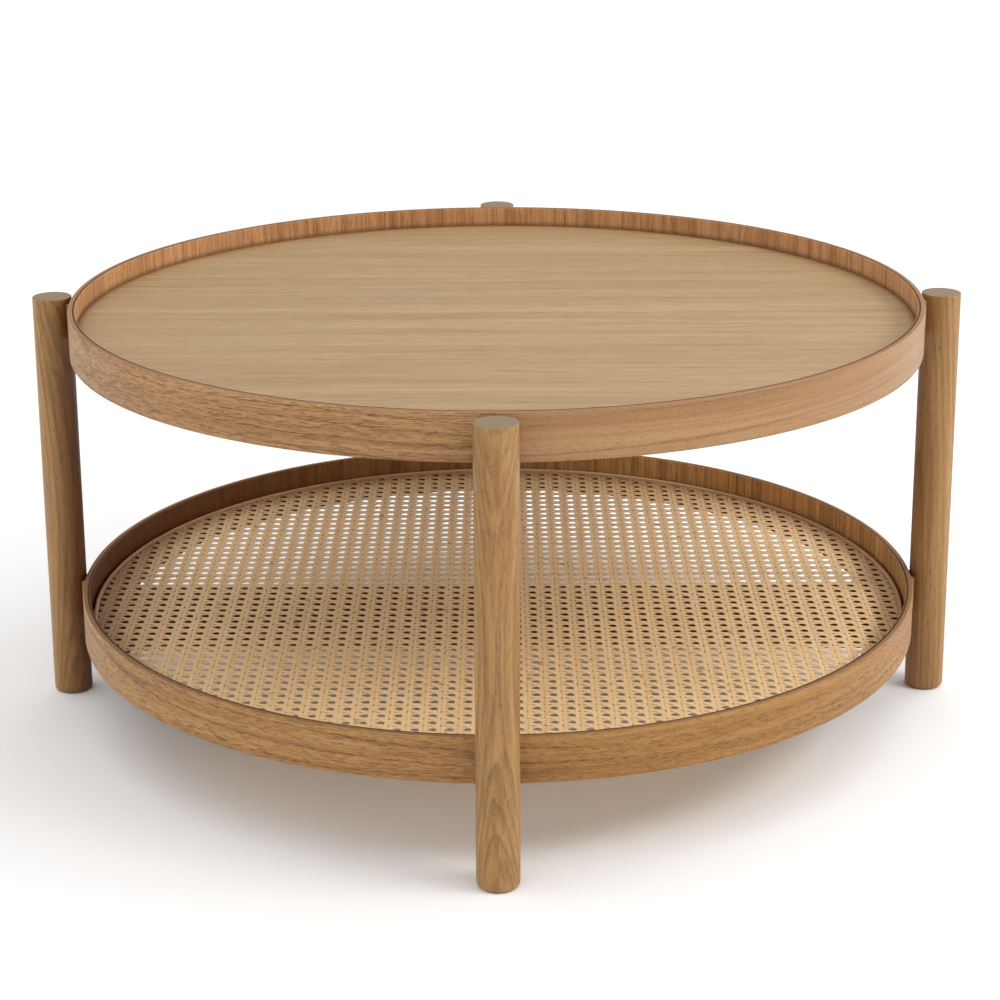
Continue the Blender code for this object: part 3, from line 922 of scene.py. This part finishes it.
def weave(name, lines, width, thickness):
    """One piece from many strands. Each line is (origin, direction, half length, crossings): crossings are
    (distance along the line, height over the cane's middle)."""
    all_verts, all_grain, all_tone, faces = [], [], [], []
    first = 0
    for origin, direction, reach, crossings in lines:
        at, height = strand_path(reach, crossings)
        side_way = np.array((-direction[1], direction[0], 0.0))
        stray = RANDOM.uniform(-STRAY, STRAY, STRAY_POINTS)
        wander = np.interp(at, np.linspace(-reach, reach, STRAY_POINTS), stray)
        path = np.zeros((len(at), 3))
        path[:, 0] = origin[0] + direction[0] * at + side_way[0] * wander
        path[:, 1] = origin[1] + direction[1] * at + side_way[1] * wander
        path[:, 2] = CANE_MIDDLE + height
        seed = RANDOM.uniform(0, 40)
        tone = float(np.clip(RANDOM.normal(TONE_MEAN, TONE_SPREAD), 0, 1))
        own_width = width * RANDOM.uniform(0.94, 1.05)
        verts, grain = strand(path, side_way, own_width, thickness, at + seed, seed)
        faces += strand_faces(len(at), first)
        first += len(verts)
        all_verts.append(verts)
        all_grain.append(grain)
        all_tone.append(np.full(len(verts), tone))
    piece(
        name, np.concatenate(all_verts), faces, ("cane",), ["cane_webbing"],
        np.concatenate(all_grain), tone=np.concatenate(all_tone), sharp=50,
    )


def cane_pair(letter, along, across, phase_along, phase_across, lengthwise):
    """Every strand a, or every strand b, of the pairs that run one way."""
    reach = int(CANE_EDGE / PITCH) + 2
    s = -1 if letter == "a" else 1
    own, other, width = LENGTHWISE_OFFSET, CROSSWISE_OFFSET, LENGTHWISE_WIDTH
    if not lengthwise:
        own, other, width = CROSSWISE_OFFSET, LENGTHWISE_OFFSET, CROSSWISE_WIDTH
    lines = []
    for i in range(-reach, reach + 1):
        offset = phase_across + i * PITCH + s * own
        if abs(offset) > CANE_EDGE - SHORTEST_IN:
            continue
        crossings = []
        for j in range(-reach, reach + 1):
            middle = phase_along + j * PITCH
            # a passes under the other way's a and over its b; b the other way round
            first, second = (UNDER, OVER) if (letter == "a") == lengthwise else (OVER, UNDER)
            crossings += [(middle - other, first), (middle + other, second)]
            crossings.append((middle + PITCH / 2, TOP_LAYER if lengthwise else MIDDLE_LAYER))
        origin = (across[0] * offset, across[1] * offset)
        lines.append((origin, along, math.sqrt(CANE_EDGE**2 - offset**2), crossings))
    way = "lengthwise" if lengthwise else "crosswise"
    weave(f"cane_{way}_{letter}", lines, width, STRAND_THICKNESS)


def cane_diagonals(way, slope):
    """Strands between the corners. They meet two by two at each middle of a side between corners."""
    root = math.sqrt(0.5)
    reach = 2 * int(CANE_EDGE / PITCH) + 4
    base = PHASE_Y - slope * PHASE_X
    lines = []
    for k in range(-reach, reach):
        offset = base + (k + 0.5) * PITCH
        if abs(offset * root) > CANE_EDGE - SHORTEST_IN:
            continue
        origin = (-slope * offset / 2, offset / 2)
        half = math.sqrt(CANE_EDGE**2 - (offset * root) ** 2)
        crossings = []
        # the middles lie where x is a whole number of half pitches from PHASE_X
        first = math.floor((origin[0] - half * root - PHASE_X) / (PITCH / 2)) - 1
        last = math.ceil((origin[0] + half * root - PHASE_X) / (PITCH / 2)) + 1
        for m in range(first, last + 1):
            at = (PHASE_X + m * PITCH / 2 - origin[0]) / root
            on_lengthwise_pair = m % 2 == 0
            if slope > 0:
                height = BOTTOM_LAYER
            else:
                height = MIDDLE_LAYER if on_lengthwise_pair else TOP_LAYER
            crossings += [(at - DIAGONAL_FLAT, height), (at + DIAGONAL_FLAT, height)]
        lines.append((origin, (root, slope * root), half, crossings))
    weave(f"cane_diagonal_{way}", lines, DIAGONAL_WIDTH, DIAGONAL_THICKNESS)


def cane():
    x_way, y_way = (1.0, 0.0), (0.0, 1.0)
    for letter in "ab":
        cane_pair(letter, y_way, x_way, PHASE_Y, PHASE_X, True)
        cane_pair(letter, x_way, y_way, PHASE_X, PHASE_Y, False)
    cane_diagonals("rising", 1)
    cane_diagonals("falling", -1)


# ---- metal parts
BOLT_RADIUS, BOLT_HEAD_HEIGHT = 0.0030, 0.0033
SOCKET_RADIUS, SOCKET_DEPTH = 0.0020, 0.0020  # the radius is half the width across flats
PLAIN_SHANK = 0.004  # under the head, before the threads start
THREAD_PITCH, THREAD_DEPTH = 0.0010, 0.00035
KNURL_DEPTH = 0.00022


def bolt(tray, side):
    """Socket-head bolt: knurled head, six-sided socket and threads."""
    name = f"bolt_{tray}_{side}"
    low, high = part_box(name)
    axis = 0 if side in ("right", "left") else 1
    centre = (low + high) / 2
    length = max(high.x - low.x, high.y - low.y)
    head_r = (high.z - low.z) / 2
    head, shank = BOLT_HEAD_HEIGHT, BOLT_RADIUS
    facets = 48
    # shape, radius and distance from the head's face of each ring of vertices
    rings = [
        ("hex", SOCKET_RADIUS, SOCKET_DEPTH),
        ("hex", SOCKET_RADIUS, 0.0),
        ("round", head_r - 0.0006, 0.0),
        ("round", head_r, 0.0006),
        ("knurl", head_r, 0.0009),
        ("knurl", head_r, head - 0.0004),
        ("round", head_r - 0.0002, head),
        ("round", shank, head),
    ]
    z = head + PLAIN_SHANK
    rings.append(("round", shank, z))
    while z < length - 1.2 * THREAD_PITCH:
        rings += [("round", shank - THREAD_DEPTH, z + THREAD_PITCH / 2), ("round", shank, z + THREAD_PITCH)]
        z += THREAD_PITCH
    rings.append(("round", shank - 0.0006, length))
    verts = []
    for kind, r, z in rings:
        for i in range(facets):
            a = math.tau * i / facets
            rr = r
            if kind == "hex":
                rr = r / math.cos((a + math.pi / 6) % (math.pi / 3) - math.pi / 6)
            if kind == "knurl":
                rr = r - (KNURL_DEPTH if i % 2 else 0.0)
            verts.append((rr * math.cos(a), rr * math.sin(a), z))
    faces = [tuple(range(facets))]
    for k in range(len(rings) - 1):
        for i in range(facets):
            j = (i + 1) % facets
            faces.append((k * facets + i, (k + 1) * facets + i, (k + 1) * facets + j, k * facets + j))
    faces.append(tuple((len(rings) - 1) * facets + i for i in range(facets - 1, -1, -1)))
    # the head faces the table's centre
    verts = np.array(verts)
    turn = math.radians(SIDES[side])
    inner = min(abs(low[axis]), abs(high[axis]))
    points = np.stack([inner + verts[:, 2], -verts[:, 1], verts[:, 0]], axis=1)
    points = points @ np.array(Matrix.Rotation(turn, 3, "Z")).T
    points[:, 2] += centre.z
    grain = [(0.0, 0.0, 0.0)] * sum(len(f) for f in faces)
    piece(f"{name}_steel", points, faces, ("steel",), [name], grain, sharp=30)


def keep_with(node, key):
    """A CAD node that stays as it is takes a procedural material."""
    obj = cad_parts[node]
    for slot in obj.material_slots:
        slot.link = "OBJECT"
        slot.material = MATERIALS[key]


# ---- stage, light and camera
# strengths of the studio's white surroundings
WORLD_FRONT, WORLD_BACK, WORLD_TOP, WORLD_HORIZON = 0.36, 0.55, 1.38, 1.0
WORLD_RIGHT, WORLD_LEFT = 0.75, 0.85  # added at the two sides


def stage():
    g = Graph("studio_floor")
    patch = g.noise(g.place(), (0.7, 0.7, 0.7), detail=2)
    colour = g.mix(patch, (0.90, 0.90, 0.90, 1), (0.93, 0.93, 0.93, 1))
    material = g.finish(colour, 0.9)
    mesh = bpy.data.meshes.new("floor")
    size = 30.0
    corners = [(-size, -size, 0), (size, -size, 0), (size, size, 0), (-size, size, 0)]
    mesh.from_pydata(corners, [], [(0, 1, 2, 3)])
    mesh.materials.append(material)
    floor = bpy.data.objects.new("floor", mesh)
    floor.location.z = -0.0004  # the feet don't share its plane
    bpy.context.scene.collection.objects.link(floor)


def softbox(name, location, target, size, power):
    data = bpy.data.lights.new(name, "AREA")
    data.shape = "RECTANGLE"
    data.size, data.size_y = size
    data.energy = power
    obj = bpy.data.objects.new(name, data)
    obj.location = location
    obj.rotation_euler = (Vector(target) - Vector(location)).to_track_quat("-Z", "Y").to_euler()
    bpy.context.scene.collection.objects.link(obj)


def light():
    """White studio: bright at the horizon, overhead and at both sides, dimmer behind and in front; three
    softboxes, of which the one at the right is the strongest."""
    g = Graph("studio", bpy.data.worlds)
    x, y, z = g.split(g.node("TexCoord").outputs["Generated"])[:3]
    walls = g.scaled(g.step(y, -0.85, 0.25), WORLD_BACK - WORLD_FRONT, WORLD_FRONT)
    walls = g.scaled(g.step(x, 0.35, 0.95), WORLD_RIGHT, walls)
    walls = g.scaled(g.step(x, -0.35, -0.95), WORLD_LEFT, walls)
    overhead = g.step(z, 0.45, 0.9)
    upper = g.scaled(overhead, g.math("SUBTRACT", WORLD_TOP, walls), walls)
    above_horizon = g.step(z, 0.06, 0.20)
    change = g.math("SUBTRACT", upper, WORLD_HORIZON)
    strength = g.scaled(above_horizon, change, WORLD_HORIZON)
    g.feed(g.tree.nodes["Background"].inputs["Strength"], strength)
    g.feed(g.tree.nodes["Background"].inputs["Color"], (1.0, 1.0, 1.0, 1.0))
    bpy.context.scene.world = g.owner
    softbox("softbox_front", (-0.9, -2.4, 2.3), (0, 0, 0.2), (1.4, 1.4), 3)
    softbox("softbox_right", (2.2, -0.9, 1.90), (0, 0, 0.15), (1.2, 0.8), 30)
    softbox("softbox_back", (2.2, 1.6, 1.25), (0, 0, 0.15), (1.2, 0.8), 10)
    bpy.context.scene.view_settings.view_transform = "Standard"


def camera():
    """The photograph's viewing angle, solved from the table's rims, legs and feet."""
    yaw, pitch, roll = -0.00108, 0.28235, -0.00487
    right = Vector((math.cos(yaw), -math.sin(yaw), 0))
    ahead = Vector((math.sin(yaw) * math.cos(pitch), math.cos(yaw) * math.cos(pitch), -math.sin(pitch)))
    up = right.cross(ahead)
    across = right * math.cos(roll) + up * math.sin(roll)
    upward = up * math.cos(roll) - right * math.sin(roll)
    data = bpy.data.cameras.new("camera")
    data.sensor_width = 36.0
    data.lens = 87.73
    data.shift_y = -0.10
    data.clip_start, data.clip_end = 0.05, 100
    obj = bpy.data.objects.new("camera", data)
    turned = Matrix((across, upward, -ahead)).transposed().to_4x4()
    obj.matrix_world = Matrix.Translation((0.0054, -2.3209, 0.9778)) @ turned
    bpy.context.scene.collection.objects.link(obj)
    bpy.context.scene.camera = obj


# ---- build
band("top_tray_band", TOP_LOW, TOP_HIGH)
band("lower_tray_band", LOWER_LOW, LOWER_HIGH)
panel()
hoop()
support_rings()
cross_board("top_cross_board")
cross_board("lower_cross_board")
cane()
for side in SIDES:
    leg(side)
    for tray in ("top", "lower"):
        spacer(tray, side)
        bolt(tray, side)
        keep_with(f"insert_{tray}_{side}", "brass")
stage()
light()
camera()
